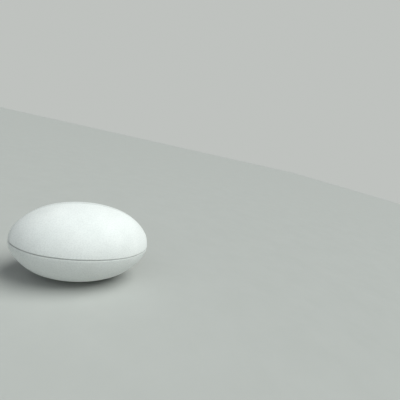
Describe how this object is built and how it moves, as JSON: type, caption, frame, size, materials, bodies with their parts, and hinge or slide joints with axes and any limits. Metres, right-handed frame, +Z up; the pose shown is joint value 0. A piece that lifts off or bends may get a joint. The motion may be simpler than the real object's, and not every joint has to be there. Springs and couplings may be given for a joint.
{
  "type": "rugby ball",
  "caption": "Prolate four-panel rugby ball with stitched seams, bonded plies, air bladder and a pull-out valve plug.",
  "frame": {"origin": "on the ground plane under the middle of the ball, where its lowest seam meets the ground", "axes": "+X along the ball's long axis, +Z up, -Y towards the viewer in the usual view, with one seam straight down"},
  "size_m": [0.2998, 0.1892, 0.1893],
  "materials": {
    "white_rubber": "satin",
    "outer_cloth": "matte",
    "middle_cloth": "matte",
    "lining_cloth": "matte",
    "waxed_thread": "satin",
    "black_butyl": "satin",
    "seat_rubber": "matte",
    "collar_rubber": "matte",
    "patch_cloth": "matte",
    "plug_rubber": "satin"
  },
  "bodies": {
    "ball": {"skin_front_top": "white_rubber", "skin_front_low": "white_rubber", "skin_back_top": "white_rubber", "skin_back_low": "white_rubber", "ply_a_front_top": "outer_cloth", "ply_a_front_low": "outer_cloth", "ply_a_back_top": "outer_cloth", "ply_a_back_low": "outer_cloth", "ply_b_front_top": "middle_cloth", "ply_b_front_low": "middle_cloth", "ply_b_back_top": "middle_cloth", "ply_b_back_low": "middle_cloth", "ply_c_front_top": "lining_cloth", "ply_c_front_low": "lining_cloth", "ply_c_back_top": "lining_cloth", "ply_c_back_low": "lining_cloth", "thread_front": "waxed_thread", "thread_top": "waxed_thread", "thread_back": "waxed_thread", "thread_low": "waxed_thread", "bladder": "black_butyl", "valve_seat": "seat_rubber", "valve_collar": "collar_rubber", "valve_patch": "patch_cloth"},
    "plug": {"valve_plug": "plug_rubber"}
  },
  "joints": [
    {"name": "plug_slide", "type": "slide", "parent": "ball", "child": "plug", "axis": [0, 0.7071, 0.7071], "range_m": [0, 0.026]}
  ]
}
